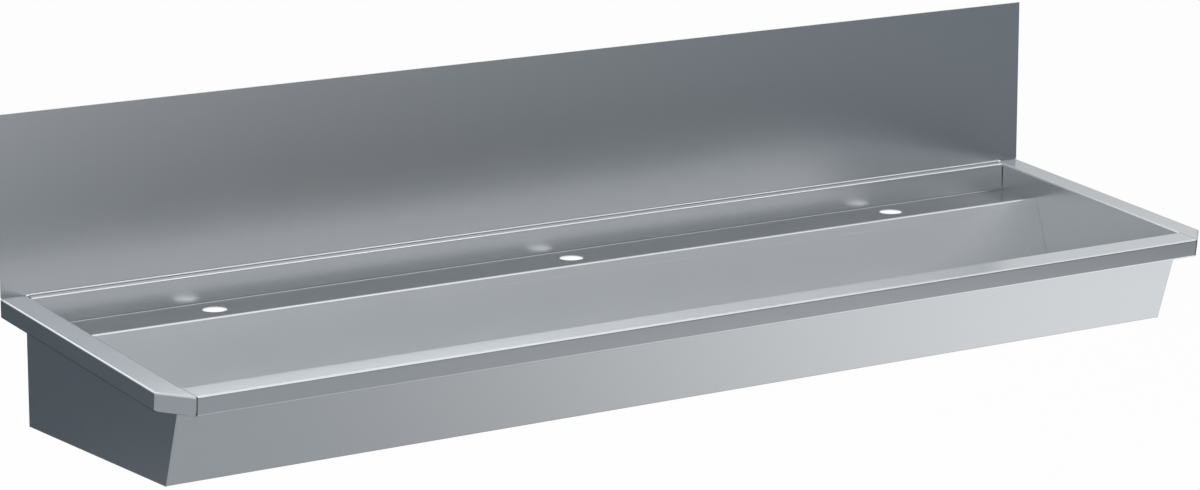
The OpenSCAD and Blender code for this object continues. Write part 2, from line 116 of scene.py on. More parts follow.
# Lamps
OVERHEAD_PLACE = (0.4, -0.2, 2.4)
OVERHEAD_SIZE = (4.6, 2.2)
OVERHEAD_LEVEL = 0.32
STRIP_AZIMUTH = 210
STRIP_ELEVATION = 34
STRIP_DISTANCE = 3.2
STRIP_SIZE = (1.6, 0.8)
STRIP_LEVEL = 1.3

# Steel: linear tones and roughness
SHEET_TONE = (0.560, 0.580, 0.600)
SHEET_ROUGHNESS = 0.25
SHEET_EDGE_SHARE = 0.75
BRACKET_TONE = (0.47, 0.48, 0.49)
BRACKET_ROUGHNESS = 0.36
FASTENER_TONE = (0.60, 0.60, 0.61)
FASTENER_ROUGHNESS = 0.30
WASTE_TONE = (0.70, 0.71, 0.72)
WASTE_ROUGHNESS = 0.16

# Noise: its usual lowest and highest value, its roughness and detail
NOISE_LOW = 0.3
NOISE_HIGH = 0.7
NOISE_ROUGHNESS = 0.6
NOISE_DETAIL = 2.0
HAIR_DETAIL = 3.0
GRAIN_DETAIL = 4.0

# Satin finish: waves per metre along and across the grain, and how far they change roughness and tone
HAIR_WAVES = (14.0, 1900.0)
STREAK_WAVES = (1.6, 90.0)
CLOUD_WAVES = (5.0, 9.0)
HAIR_DEPTH = 0.0001 * MM
HAIR_ROUGHNESS = 0.008
CLOUD_ROUGHNESS = 0.008
HAIR_TONE_SHARE = 0.005
STREAK_TONE_SHARE = 0.004

# Plastic, rubber and bitumen: linear tone, roughness, size and depth of the grain, and share of mottling
NUT_PLASTIC = {"tone": (0.66, 0.66, 0.64), "roughness": 0.42, "grain_size": 0.8 * MM, "depth": 0.01 * MM,
               "mottle": 0.03}
SEAL_RUBBER = {"tone": (0.030, 0.030, 0.033), "roughness": 0.62, "grain_size": 0.6 * MM, "depth": 0.02 * MM,
               "mottle": 0.12}
DAMPING_PAD = {"tone": (0.055, 0.055, 0.058), "roughness": 0.70, "grain_size": 1.2 * MM, "depth": 0.10 * MM,
               "mottle": 0.12}
MOTTLE_WAVES = 25.0
SOFT_ROUGHNESS_SPREAD = 0.08

# Dressing: angles in degrees
MERGE_DISTANCE = 0.005 * MM
FLAT_ANGLE = 0.3
BROKEN_EDGE = 0.15 * MM
BROKEN_EDGE_ANGLE = 40
BROKEN_EDGE_STEPS = 2
SPLIT_ANGLE = 50
FACE_WEIGHT = 80
SHARP_ANGLE = 35
WELD_SHARP_ANGLE = 60

# Threads and chamfers of the scene's own pieces. The chamfer of the nuts is an angle in degrees.
M4_PITCH = 0.7 * MM
M6_PITCH = 1.0 * MM
PIPE_PITCH = 2.309 * MM
THREAD_DEPTH_SHARE = 0.55
STUD_TIP_SHARE = 0.8
STUD_PLAIN_SHARE = 0.4
NUT_CHAMFER = 30
TAIL_CHAMFER = 1.0 * MM

# Studs and the waste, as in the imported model
M4_RADIUS = 2.0 * MM
M6_RADIUS = 3.0 * MM
THREAD_PLAY = 0.1 * MM
TAIL_RADIUS = 23.9 * MM
TAIL_FREE = 16.0 * MM
GROOVE_DEPTH = 1.4 * MM
GROOVE_HEIGHT = 2.0 * MM
BORE_RADIUS = 20.0 * MM
FLANGE_HEIGHT = 3.0 * MM
SEAT_RADIUS = 30.4 * MM
SEAT_DEPTH = 1.6 * MM

# Sides and steps of round forms
STUD_SIDES = 16
NUT_SIDES = 48
WASTE_SIDES = 64
DOT_SIDES = 24
THREAD_STEPS = 6
NUT_STEPS = 4
BEVEL_STEPS = 6
DOME_STEPS = 7
ARC_STEPS = 8

# Sheets and rim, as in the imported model. The rim falls from the origin towards the user.
SHEET = 1.5 * MM
FOLD_RADIUS = 3.0 * MM
JOINT_GAP = 0.1 * MM
RIM_TILT = math.radians(5.86)
RIM_DEPTH = 469.3 * MM
RIM_SIDE_WIDTH = 38.0 * MM
SKIRT_HEIGHT = 27.4 * MM
SKIRT_JOINT = 1.4 * MM
END_RELIEF = 2.5 * MM
REAR_FLANGE_Y = 3.0 * MM
BACK_WALL_Y = 14.3 * MM
LEDGE_DROP = 43.25 * MM
END_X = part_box("right_end")[1][0]
END_WALL_X = END_X - RIM_SIDE_WIDTH
ALONG_RIM = Vector((0, math.cos(RIM_TILT), math.sin(RIM_TILT)))
OFF_RIM = Vector((0, math.sin(RIM_TILT), -math.cos(RIM_TILT)))

# Seam at the splashback's foot, its weld dots, and the welds at the rear rim's ends: how far down they close
# the slot beside the back wall, and how wide they leave it below that
SEAM_RADIUS = 2.5 * MM
DOT_RADIUS = 2.8 * MM
WELD_DROP = 6.0 * MM
OPEN_SLOT = 1.2 * MM

# Painted shade and painted highlights along joints and folds: a radius, and the share by which each paints
# shade on the steel, or a highlight below 0. The line of a skirt joint lies inside the skirt's face by its
# inset.
SKIRT_JOINT_PAINTED_SHADE = (1.5 * MM, 0.88)
SKIRT_JOINT_INSET = 0.4 * MM
RIM_JOINT_PAINTED_SHADE = (1.2 * MM, 0.30)
LEDGE_FOLD_PAINTED_SHADE = (2.5 * MM, 0.35)
FRONT_SKIRT_PAINTED_HIGHLIGHT = (2.5 * MM, -0.35)
SIDE_SKIRT_PAINTED_SHADE = (2.5 * MM, 0.75)

# Long axis of the grain, as an index of X, Y, Z
GRAIN_X = 0
GRAIN_Y = 1
GRAIN_Z = 2


def point_at(azimuth, elevation, distance):
    """The point seen from the trough's middle at an azimuth, with 0 in front and 90 to the right, and an
    elevation, both in degrees."""
    a = math.radians(azimuth)
    e = math.radians(elevation)
    away = Vector((math.sin(a) * math.cos(e), -math.cos(a) * math.cos(e), math.sin(e)))
    return Vector(TROUGH_MIDDLE) + distance * away


def aim(lamp, target):
    """Turns a lamp towards a point."""
    lamp.rotation_euler = (Vector(target) - lamp.location).to_track_quat("-Z", "Y").to_euler()


# Nodes

def new_material(name):
    """A material without nodes, for the caller to fill."""
    material = bpy.data.materials.new(name)
    material.use_nodes = True
    material.node_tree.nodes.clear()
    return material


def add(tree, kind, **values):
    """A node of that kind, with the values of its named inputs."""
    made = tree.nodes.new("ShaderNode" + kind)
    for name, value in values.items():
        made.inputs[name.replace("_", " ")].default_value = value
    return made


def maths(tree, operation, a, b):
    """The result of an operation on two numbers or outputs."""
    made = tree.nodes.new("ShaderNodeMath")
    made.operation = operation
    for socket, value in zip(made.inputs, (a, b)):
        if isinstance(value, (int, float)):
            socket.default_value = value
        else:
            tree.links.new(value, socket)
    return made.outputs[0]


def spread(tree, value, low, high):
    """Maps a noise, from its usual range, to low to high."""
    made = add(tree, "MapRange", From_Min=NOISE_LOW, From_Max=NOISE_HIGH, To_Min=low, To_Max=high)
    tree.links.new(value, made.inputs["Value"])
    return made.outputs["Result"]


def stretched_noise(tree, place, waves, grain, detail=NOISE_DETAIL):
    """Noise in strokes that lie along the grain, with so many waves per metre along and across it."""
    along, across = waves
    scale = [across, across, across]
    scale[grain] = along
    mapping = add(tree, "Mapping", Scale=scale)
    tree.links.new(place, mapping.inputs["Vector"])
    noise = add(tree, "TexNoise", Scale=1.0, Detail=detail, Roughness=NOISE_ROUGHNESS)
    tree.links.new(mapping.outputs["Vector"], noise.inputs["Vector"])
    return noise.outputs["Fac"]


def tinted(tree, colour, share):
    """The colour times a share that varies over the surface."""
    made = tree.nodes.new("ShaderNodeVectorMath")
    made.operation = "SCALE"
    made.inputs[0].default_value = colour
    tree.links.new(share, made.inputs["Scale"])
    return made.outputs["Vector"]


def vector_maths(tree, operation, vector, constant=(0, 0, 0)):
    """A node that works on a vector output and a constant vector."""
    made = tree.nodes.new("ShaderNodeVectorMath")
    made.operation = operation
    made.inputs[1].default_value = constant
    tree.links.new(vector, made.inputs[0])
    return made


def painted_light_lines(tree, place, lines):
    """Painted shade and highlights: a share of the steel's tone that changes within a radius of straight
    lines.
    """
    share = 1.0
    for point, direction, (radius, darker) in lines:
        offset = vector_maths(tree, "SUBTRACT", place, point)
        across = vector_maths(tree, "CROSS_PRODUCT", offset.outputs["Vector"], direction)
        apart = vector_maths(tree, "LENGTH", across.outputs["Vector"])
        near = add(tree, "MapRange", From_Min=radius / 2, From_Max=radius, To_Min=1 - darker, To_Max=1.0)
        near.interpolation_type = "SMOOTHSTEP"
        tree.links.new(apart.outputs["Value"], near.inputs["Value"])
        share = maths(tree, "MULTIPLY", near.outputs["Result"], share)
    return share


# Materials

def satin_steel(name, tone, roughness, grain, edge_share=1.0, lines=()):
    """Satin-finished steel: hairlines in the bump and the roughness, faint wide streaks and soft clouds, and
    painted shade and highlights along the given lines.
    """
    material = new_material(name)
    tree = material.node_tree
    place = add(tree, "TexCoord").outputs["Object"]
    hair = stretched_noise(tree, place, HAIR_WAVES, grain, HAIR_DETAIL)
    streak = stretched_noise(tree, place, STREAK_WAVES, grain)
    cloud = stretched_noise(tree, place, CLOUD_WAVES, grain)
    shader = add(tree, "BsdfPrincipled", Metallic=1.0, Specular_Tint=(edge_share, edge_share, edge_share, 1))
    rough = maths(tree, "ADD", spread(tree, hair, -HAIR_ROUGHNESS, HAIR_ROUGHNESS), roughness)
    rough = maths(tree, "ADD", spread(tree, cloud, -CLOUD_ROUGHNESS, CLOUD_ROUGHNESS), rough)
    tree.links.new(rough, shader.inputs["Roughness"])
    shade = maths(tree, "ADD", spread(tree, streak, 1 - STREAK_TONE_SHARE, 1 + STREAK_TONE_SHARE),
                  spread(tree, hair, -HAIR_TONE_SHARE, HAIR_TONE_SHARE))
    # Painted shade and highlights along the given lines scale the base colour
    shade = maths(tree, "MULTIPLY", shade, painted_light_lines(tree, place, lines))
    tree.links.new(tinted(tree, tone, shade), shader.inputs["Base Color"])
    bump = add(tree, "Bump", Strength=1.0, Distance=HAIR_DEPTH)
    tree.links.new(hair, bump.inputs["Height"])
    tree.links.new(bump.outputs["Normal"], shader.inputs["Normal"])
    out = add(tree, "OutputMaterial")
    tree.links.new(shader.outputs["BSDF"], out.inputs["Surface"])
    return material


def soft_solid(name, tone, roughness, grain_size, depth, mottle):
    """Rubber, bitumen or moulded plastic: an even tone with mottling and a fine grain in the bump."""
    material = new_material(name)
    tree = material.node_tree
    place = add(tree, "TexCoord").outputs["Object"]
    fine = stretched_noise(tree, place, (1 / grain_size, 1 / grain_size), GRAIN_X, GRAIN_DETAIL)
    wide = stretched_noise(tree, place, (MOTTLE_WAVES, MOTTLE_WAVES), GRAIN_X)
    shader = add(tree, "BsdfPrincipled", Metallic=0.0)
    shade = spread(tree, wide, 1 - mottle, 1 + mottle)
    tree.links.new(tinted(tree, tone, shade), shader.inputs["Base Color"])
    rough = spread(tree, fine, roughness - SOFT_ROUGHNESS_SPREAD, roughness + SOFT_ROUGHNESS_SPREAD)
    tree.links.new(rough, shader.inputs["Roughness"])
    bump = add(tree, "Bump", Strength=1.0, Distance=depth)
    tree.links.new(fine, bump.inputs["Height"])
    tree.links.new(bump.outputs["Normal"], shader.inputs["Normal"])
    out = add(tree, "OutputMaterial")
    tree.links.new(shader.outputs["BSDF"], out.inputs["Surface"])
    return material


def one_sided(tree, shader):
    """Shows the shader on the side that a stage piece faces, and nothing from behind."""
    sides = add(tree, "MixShader")
    tree.links.new(add(tree, "NewGeometry").outputs["Backfacing"], sides.inputs["Fac"])
    tree.links.new(shader, sides.inputs[1])
    tree.links.new(add(tree, "BsdfTransparent").outputs["BSDF"], sides.inputs[2])
    out = add(tree, "OutputMaterial")
    tree.links.new(sides.outputs["Shader"], out.inputs["Surface"])


def shine(tree, level):
    """Light of that level, tinted cool where it is dark."""
    level = maths(tree, "MAXIMUM", level, 0.0)
    tint = tree.nodes.new("ShaderNodeMix")
    tint.data_type = "RGBA"
    tint.inputs["A"].default_value = (*COOL_TINT, 1)
    tint.inputs["B"].default_value = (1, 1, 1, 1)
    tree.links.new(maths(tree, "MULTIPLY", level, 1 / COOL_BELOW), tint.inputs["Factor"])
    emission = add(tree, "Emission")
    tree.links.new(tint.outputs["Result"], emission.inputs["Color"])
    tree.links.new(level, emission.inputs["Strength"])
    one_sided(tree, emission.outputs["Emission"])


def glow(name, low, high, axis="X"):
    """A card's light: from low at its left edge to high at its right edge, or with the axis Y from low at an
    upright card's top to high at its foot."""
    material = new_material(name)
    tree = material.node_tree
    parts = add(tree, "SeparateXYZ")
    tree.links.new(add(tree, "TexCoord").outputs["Generated"], parts.inputs["Vector"])
    level = add(tree, "MapRange", From_Min=0.0, From_Max=1.0, To_Min=low, To_Max=high)
    tree.links.new(parts.outputs[axis], level.inputs["Value"])
    shine(tree, level.outputs["Result"])
    return material


def spotted_glow(name, base, spots):
    """A level card's light: a plain level and round spots that fade out towards their radius."""
    material = new_material(name)
    tree = material.node_tree
    place = add(tree, "TexCoord").outputs["Object"]
    level = base
    for x, y, radius, amount in spots:
        apart = vector_maths(tree, "DISTANCE", place, (x, y, 0))
        fade = add(tree, "MapRange", From_Min=0.0, From_Max=radius, To_Min=amount, To_Max=0.0)
        fade.interpolation_type = "SMOOTHSTEP"
        tree.links.new(apart.outputs["Value"], fade.inputs["Value"])
        level = maths(tree, "ADD", fade.outputs["Result"], level)
    shine(tree, level)
    return material


def seen_share(tree, share):
    """The share for camera, glossy and transmission rays, and none for the rest."""
    path = add(tree, "LightPath")
    seen = maths(tree, "MAXIMUM", path.outputs["Is Camera Ray"], path.outputs["Is Glossy Ray"])
    seen = maths(tree, "MAXIMUM", seen, path.outputs["Is Transmission Ray"])
    return maths(tree, "MULTIPLY", seen, share)


# Painted shade and highlight lines on the sheets, each as a point, a direction, and its radius and share

def joint_painted_shade():
    """Painted shade along the open joints of the front skirt, and along the seams between the front section
    and the end pieces.
    """
    inner_x = END_WALL_X - SHEET
    front = ALONG_RIM * -RIM_DEPTH + Vector((0, SKIRT_JOINT_INSET, 0))
    lines = []
    for side in (-1, 1):
        skirt_x = side * (inner_x - (JOINT_GAP + SKIRT_JOINT) / 2)
        rim_x = side * (inner_x - JOINT_GAP / 2)
        lines.append(((skirt_x, front.y, front.z), OFF_RIM, SKIRT_JOINT_PAINTED_SHADE))
        lines.append(((rim_x, 0, 0), ALONG_RIM, RIM_JOINT_PAINTED_SHADE))
    return lines


def fold_inset(radius):
    """How far a fold's middle lies inside the corner that its two faces would make."""
    return radius * (1 - math.sqrt(0.5))


def front_painted_shade_and_highlight():
    """Painted shade in the fold between back wall and ledge, and a painted highlight on the fold under the
    front skirt.
    """
    inset = fold_inset(FOLD_RADIUS - SHEET)
    ledge = (0, -BACK_WALL_Y - inset, inset - LEDGE_DROP)
    inset = fold_inset(FOLD_RADIUS)
    skirt = ALONG_RIM * (inset - RIM_DEPTH) + OFF_RIM * (SKIRT_HEIGHT - inset)
    return [(ledge, (1, 0, 0), LEDGE_FOLD_PAINTED_SHADE), (skirt, (1, 0, 0), FRONT_SKIRT_PAINTED_HIGHLIGHT)]


def side_skirt_painted_shade():
    """Painted shade along the folds under both side skirts."""
    inset = fold_inset(FOLD_RADIUS)
    low = inset - SKIRT_HEIGHT / math.cos(RIM_TILT)
    return [((side * (END_X - inset), 0, low), ALONG_RIM, SIDE_SKIRT_PAINTED_SHADE) for side in (-1, 1)]


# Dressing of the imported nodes

def dress(names, material):
    """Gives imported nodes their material, smooth folds and slightly broken sheet edges."""
    for name in names:
        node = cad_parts[name]
        node.data.materials.clear()
        node.data.materials.append(material)
        node.data.polygons.foreach_set("use_smooth", [True] * len(node.data.polygons))
        weld = node.modifiers.new("weld", "WELD")
        weld.merge_threshold = MERGE_DISTANCE
        flat = node.modifiers.new("flat", "DECIMATE")
        flat.decimate_type = "DISSOLVE"
        flat.angle_limit = math.radians(FLAT_ANGLE)
        bevel = node.modifiers.new("edge", "BEVEL")
        bevel.width = BROKEN_EDGE
        bevel.segments = BROKEN_EDGE_STEPS
        bevel.limit_method = "ANGLE"
        bevel.angle_limit = math.radians(BROKEN_EDGE_ANGLE)
        split = node.modifiers.new("split", "EDGE_SPLIT")
        split.split_angle = math.radians(SPLIT_ANGLE)
        split.use_edge_sharp = False
        shade = node.modifiers.new("shade", "WEIGHTED_NORMAL")
        shade.weight = FACE_WEIGHT


def dress_all():
    """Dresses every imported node, and returns the materials that the scene's own pieces share."""
    # Both sheet steels carry painted shade along the joints; grain X also in the ledge fold with a painted
    # highlight under the front skirt, and grain Y painted shade under the side skirts.
    sheet_x = satin_steel("sheet_grain_x", SHEET_TONE, SHEET_ROUGHNESS, GRAIN_X, SHEET_EDGE_SHARE,
                          joint_painted_shade() + front_painted_shade_and_highlight())
    sheet_y = satin_steel("sheet_grain_y", SHEET_TONE, SHEET_ROUGHNESS, GRAIN_Y, SHEET_EDGE_SHARE,
                          joint_painted_shade() + side_skirt_painted_shade())
    bracket = satin_steel("bracket_steel", BRACKET_TONE, BRACKET_ROUGHNESS, GRAIN_Z)
    fastener = satin_steel("fastener_steel", FASTENER_TONE, FASTENER_ROUGHNESS, GRAIN_Z)
    waste = satin_steel("waste_steel", WASTE_TONE, WASTE_ROUGHNESS, GRAIN_Z)
    plastic = soft_solid("nut_plastic", **NUT_PLASTIC)
    rubber = soft_solid("seal_rubber", **SEAL_RUBBER)
    pad = soft_solid("damping_pad", **DAMPING_PAD)
    dress(["front_section", "tap_ledge", "back_slope", "bowl_bottom", "splashback"], sheet_x)
    dress(["left_end", "right_end"], sheet_y)
    dress([f"wall_bracket_{number}" for number in range(1, 5)] + ["front_channel", "earth_tag"], bracket)
    dress(["splash_studs", "splash_nuts", "seat_studs", "seat_washers", "seat_nuts"], fastener)
    dress(["waste_body", "strainer", "strainer_knob"], waste)
    dress(["waste_nut"], plastic)
    dress(["splash_seal", "waste_gasket", "waste_washer"], rubber)
    dress(["damping_pad_left", "damping_pad_right"], pad)
    return {"sheet": sheet_x, "fastener": fastener, "waste": waste, "plastic": plastic}


# The scene's own pieces: threads, chamfered nuts, and the seam and welds along the rear rim

def solids_of(name):
    """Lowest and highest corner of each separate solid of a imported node, from left to right."""
    work = bmesh.new()
    work.from_mesh(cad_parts[name].data)
    work.transform(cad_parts[name].matrix_world)
    bmesh.ops.remove_doubles(work, verts=work.verts, dist=MERGE_DISTANCE)
    met = set()
    boxes = []
    for first in work.verts:
        if first.index in met:
            continue
        met.add(first.index)
        group = [first]
        for vert in group:
            for edge in vert.link_edges:
                other = edge.other_vert(vert)
                if other.index not in met:
                    met.add(other.index)
                    group.append(other)
        low = Vector([min(vert.co[i] for vert in group) for i in range(3)])
        high = Vector([max(vert.co[i] for vert in group) for i in range(3)])
        boxes.append((low, high))
    work.free()
    return sorted(boxes, key=lambda pair: (round(pair[0].x, 4), round(pair[0].y, 4)))


def circle(radius):
    """A round shape of a turned solid's row."""
    return lambda angle, height: radius


def hexagon(corner, limit):
    """A hexagon with a corner on the X axis, rounded off beyond a limit."""
    flat = corner * math.cos(math.pi / 6)
    return lambda angle, height: min(flat / math.cos(angle % (math.pi / 3) - math.pi / 6), limit)


def thread(radius, pitch, depth):
    """A helical groove of that depth below the radius."""
    return lambda angle, height: radius - depth * abs((height / pitch - angle / math.tau) % 1 * 2 - 1)


def thread_rows(radius, pitch, low, high):
    """Rows of a thread that runs out at both ends."""
    steps = round((high - low) / pitch * THREAD_STEPS)
    rows = []
    for step in range(steps + 1):
        height = low + (high - low) * step / steps
        share = max(0.0, min(1.0, (height - low) / pitch, (high - height) / pitch))
        rows.append((thread(radius, pitch, THREAD_DEPTH_SHARE * pitch * share), height))
    return rows


def turned(rows, base, axis, sides, ring=False):
    """Points and faces of a turned solid along an axis square to X. Each row is a shape and its height
    over the base. A ring closes its last row to its first, and any other solid has two end caps."""
    along = Vector(axis)
    across = Vector((1, 0, 0))
    aside = along.cross(across)
    points = []
    for shape, height in rows:
        for side in range(sides):
            angle = math.tau * side / sides
            radius = shape(angle, height)
            away = across * math.cos(angle) + aside * math.sin(angle)
            points.append(base + along * height + away * radius)
    faces = []
    for row in range(len(rows) if ring else len(rows) - 1):
        here = row * sides
        there = (row + 1) % len(rows) * sides
        for side in range(sides):
            beside = (side + 1) % sides
            faces.append((here + side, here + beside, there + beside, there + side))
    if not ring:
        faces.append(tuple(range(sides)))
        faces.append(tuple(range(len(points) - sides, len(points))))
    return points, faces


def joined(shapes):
    """Several solids as one list of points and one of faces."""
    points = []
    faces = []
    for more_points, more_faces in shapes:
        start = len(points)
        points.extend(more_points)
        faces.extend(tuple(start + corner for corner in face) for face in more_faces)
    return points, faces


def built(name, shape, material, sharp=SHARP_ANGLE):
    """A piece that rides on the trough, smooth below the sharp angle in degrees."""
    mesh = bpy.data.meshes.new(name)
    mesh.from_pydata(shape[0], [], shape[1])
    work = bmesh.new()
    work.from_mesh(mesh)
    bmesh.ops.recalc_face_normals(work, faces=work.faces)
    work.to_mesh(mesh)
    work.free()
    mesh.polygons.foreach_set("use_smooth", [True] * len(mesh.polygons))
    mesh.set_sharp_from_angle(angle=math.radians(sharp))
    mesh.materials.append(material)
    piece = bpy.data.objects.new(name, mesh)
    bpy.context.scene.collection.objects.link(piece)
    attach(piece, "trough")
    return piece


def stud(base, axis, length, radius, pitch):
    """A threaded stud that stands on its base, with a chamfer at its free end."""
    tip = radius * STUD_TIP_SHARE
    chamfer = radius - tip
    rows = [(circle(radius), 0.0)]
    rows += thread_rows(radius, pitch, STUD_PLAIN_SHARE * radius, length - chamfer)
    rows.append((circle(tip), length))
    return turned(rows, base, axis, STUD_SIDES)


def hex_nut(base, axis, height, corner, hole):
    """A hexagon nut round an axis, with both ends chamfered."""
    flat = corner * math.cos(math.pi / 6)
    chamfer = (corner - flat) * math.tan(math.radians(NUT_CHAMFER))
    lower = []
    for step in range(NUT_STEPS + 1):
        share = step / NUT_STEPS
        lower.append((hexagon(corner, flat + (corner - flat) * share), chamfer * share))
    upper = [(shape, height - level) for shape, level in reversed(lower)]
    rows = [(circle(hole), 0.0)] + lower + upper + [(circle(hole), height)]
    return turned(rows, base, axis, NUT_SIDES, ring=True)


def make_studs(materials):
    """Threaded studs in place of the plain ones."""
    splash = []
    for low, high in solids_of("splash_studs"):
        base = Vector(((low.x + high.x) / 2, high.y, (low.z + high.z) / 2))
        splash.append(stud(base, (0, -1, 0), high.y - low.y, (high.z - low.z) / 2, M4_PITCH))
    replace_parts(built("splash_studs_threaded", joined(splash), materials["fastener"]),
                "splash_studs")
    seat = []
    for low, high in solids_of("seat_studs"):
        base = Vector(((low.x + high.x) / 2, (low.y + high.y) / 2, high.z))
        seat.append(stud(base, (0, 0, -1), high.z - low.z, (high.y - low.y) / 2, M6_PITCH))
    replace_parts(built("seat_studs_threaded", joined(seat), materials["fastener"]),
                "seat_studs")


def make_nuts(materials):
    """Nuts with chamfered corners in place of the plain ones."""
    splash = []
    for low, high in solids_of("splash_nuts"):
        base = Vector(((low.x + high.x) / 2, high.y, (low.z + high.z) / 2))
        splash.append(hex_nut(base, (0, -1, 0), high.y - low.y, (high.x - low.x) / 2, M4_RADIUS))
    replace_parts(built("splash_nuts_chamfered", joined(splash), materials["fastener"]),
                "splash_nuts")
    seat = []
    for low, high in solids_of("seat_nuts"):
        base = Vector(((low.x + high.x) / 2, (low.y + high.y) / 2, high.z))
        seat.append(hex_nut(base, (0, 0, -1), high.z - low.z, (high.x - low.x) / 2, M6_RADIUS))
    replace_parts(built("seat_nuts_chamfered", joined(seat), materials["fastener"]),
                "seat_nuts")
    low, high = solids_of("waste_nut")[0]
    base = Vector(((low.x + high.x) / 2, (low.y + high.y) / 2, high.z))
    lock = hex_nut(base, (0, 0, -1), high.z - low.z, (high.x - low.x) / 2, TAIL_RADIUS + THREAD_PLAY)
    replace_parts(built("waste_nut_chamfered", lock, materials["plastic"]), "waste_nut")


def make_waste(materials):
    """The waste's body with its pipe thread above and below the relief groove."""
    low, high = solids_of("waste_body")[0]
    base = Vector(((low.x + high.x) / 2, (low.y + high.y) / 2, low.z))
    top = high.z - low.z
    flange_radius = (high.x - low.x) / 2
    flange_low = top - FLANGE_HEIGHT
    bevel = FLANGE_HEIGHT / 2
    groove_radius = TAIL_RADIUS - GROOVE_DEPTH
    rows = [(circle(BORE_RADIUS), 0.0), (circle(TAIL_RADIUS - TAIL_CHAMFER), 0.0)]
    rows += thread_rows(TAIL_RADIUS, PIPE_PITCH, TAIL_CHAMFER, TAIL_FREE)
    rows += [(circle(groove_radius), TAIL_FREE), (circle(groove_radius), TAIL_FREE + GROOVE_HEIGHT)]
    rows += thread_rows(TAIL_RADIUS, PIPE_PITCH, TAIL_FREE + GROOVE_HEIGHT, flange_low)
    rows += [(circle(flange_radius), flange_low), (circle(flange_radius), top - bevel)]
    for step in range(1, BEVEL_STEPS + 1):
        turn = math.pi / 2 * step / BEVEL_STEPS
        radius = flange_radius - bevel * (1 - math.cos(turn))
        rows.append((circle(radius), top - bevel + bevel * math.sin(turn)))
    rows += [(circle(SEAT_RADIUS), top), (circle(SEAT_RADIUS), top - SEAT_DEPTH)]
    rows.append((circle(BORE_RADIUS), top - SEAT_DEPTH))
    body = turned(rows, base, (0, 0, 1), WASTE_SIDES, ring=True)
    piece = built("waste_body_threaded", body, materials["waste"])
    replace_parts(piece, "waste_body")


def prism(profile, left, right):
    """A straight solid along X with that outline in Y and Z."""
    count = len(profile)
    points = [Vector((x, y, z)) for x in (left, right) for y, z in profile]
    faces = [(k, (k + 1) % count, count + (k + 1) % count, count + k) for k in range(count)]
    faces += [tuple(range(count)), tuple(range(count, 2 * count))]
    return points, faces


def arc(centre_y, centre_z, radius, start, end):
    """Points in Y and Z along an arc between two angles."""
    turns = [start + (end - start) * step / ARC_STEPS for step in range(ARC_STEPS + 1)]
    return [(centre_y + radius * math.cos(turn), centre_z + radius * math.sin(turn)) for turn in turns]


def rear_corner(low):
    """Outline of the rear rim and of the back wall's fold down to a height, as the tap ledge has it."""
    slope = math.tan(RIM_TILT)
    centre_y = FOLD_RADIUS - BACK_WALL_Y
    centre_z = centre_y * slope - FOLD_RADIUS / math.cos(RIM_TILT)
    outline = [(-REAR_FLANGE_Y, -REAR_FLANGE_Y * slope)]
    outline += arc(centre_y, centre_z, FOLD_RADIUS, math.pi / 2 + RIM_TILT, math.pi)
    outline += [(-BACK_WALL_Y, low), (SHEET - BACK_WALL_Y, low), (SHEET - BACK_WALL_Y, centre_z)]
    outline.append((-REAR_FLANGE_Y, -REAR_FLANGE_Y * slope - SHEET))
    return outline


def make_rear_seam(materials):
    """The seam where the rear rim meets the splashback, and the welds at the rear rim's ends."""
    centre_y = -SHEET - SEAM_RADIUS
    centre_z = centre_y * math.tan(RIM_TILT) + SEAM_RADIUS
    profile = arc(centre_y, centre_z, SEAM_RADIUS, 0, -math.pi / 2)
    profile.append((-SHEET, profile[-1][1]))
    shapes = [prism(profile, -END_WALL_X, END_WALL_X)]
    outer = END_WALL_X - SHEET
    inner = outer - JOINT_GAP - END_RELIEF
    slot = outer - OPEN_SLOT
    for side in (-1, 1):
        shapes.append(prism(rear_corner(FOLD_RADIUS - LEDGE_DROP), side * inner, side * slot))
        shapes.append(prism(rear_corner(-WELD_DROP), side * slot, side * outer))
    built("rear_seam", joined(shapes), materials["sheet"], WELD_SHARP_ANGLE)


def make_weld_dots(materials):
    """A small dome of weld at each end of the rear seam."""
    rows = []
    for step in range(DOME_STEPS):
        turn = math.pi / 2 * step / DOME_STEPS
        rows.append((circle(DOT_RADIUS * math.cos(turn)), DOT_RADIUS * math.sin(turn)))
    dot_y = -SHEET - SEAM_RADIUS
    dot_z = dot_y * math.tan(RIM_TILT)
    dots = []
    for side in (-1, 1):
        dots.append(turned(rows, Vector((side * END_WALL_X, dot_y, dot_z)), (0, 0, 1), DOT_SIDES))
    built("rear_weld_dots", joined(dots), materials["waste"], WELD_SHARP_ANGLE)


# Studio

def make_camera():
    """The camera, placed and turned as solved."""
    data = bpy.data.cameras.new("camera")
    data.lens = CAMERA_LENS
    data.sensor_width = SENSOR_WIDTH
    camera = bpy.data.objects.new("camera", data)
    camera.location = CAMERA_PLACE
    camera.rotation_euler = (math.pi / 2 - CAMERA_PITCH, 0, -CAMERA_YAW)
    bpy.context.scene.collection.objects.link(camera)
    bpy.context.scene.camera = camera


def make_world():
    """A white room, a little dimmer where it lights matt surfaces."""
    world = bpy.data.worlds.new("room")
    bpy.context.scene.world = world
    world.use_nodes = True
    tree = world.node_tree
    tree.nodes.clear()
    strength = maths(tree, "ADD", seen_share(tree, 1 - ROOM_FILL), ROOM_FILL)
    back = add(tree, "Background", Color=(1, 1, 1, 1))
    tree.links.new(strength, back.inputs["Strength"])
    out = add(tree, "OutputWorld")
    tree.links.new(back.outputs["Background"], out.inputs["Surface"])


def plane(name, width, height, material):
    """A flat stage piece round its own middle, facing along its own Z."""
    mesh = bpy.data.meshes.new(name)
    x = width / 2
    y = height / 2
    mesh.from_pydata([(-x, -y, 0), (x, -y, 0), (x, y, 0), (-x, y, 0)], [], [(0, 1, 2, 3)])
    mesh.materials.append(material)
    made = bpy.data.objects.new(name, mesh)
    bpy.context.scene.collection.objects.link(made)
    return made


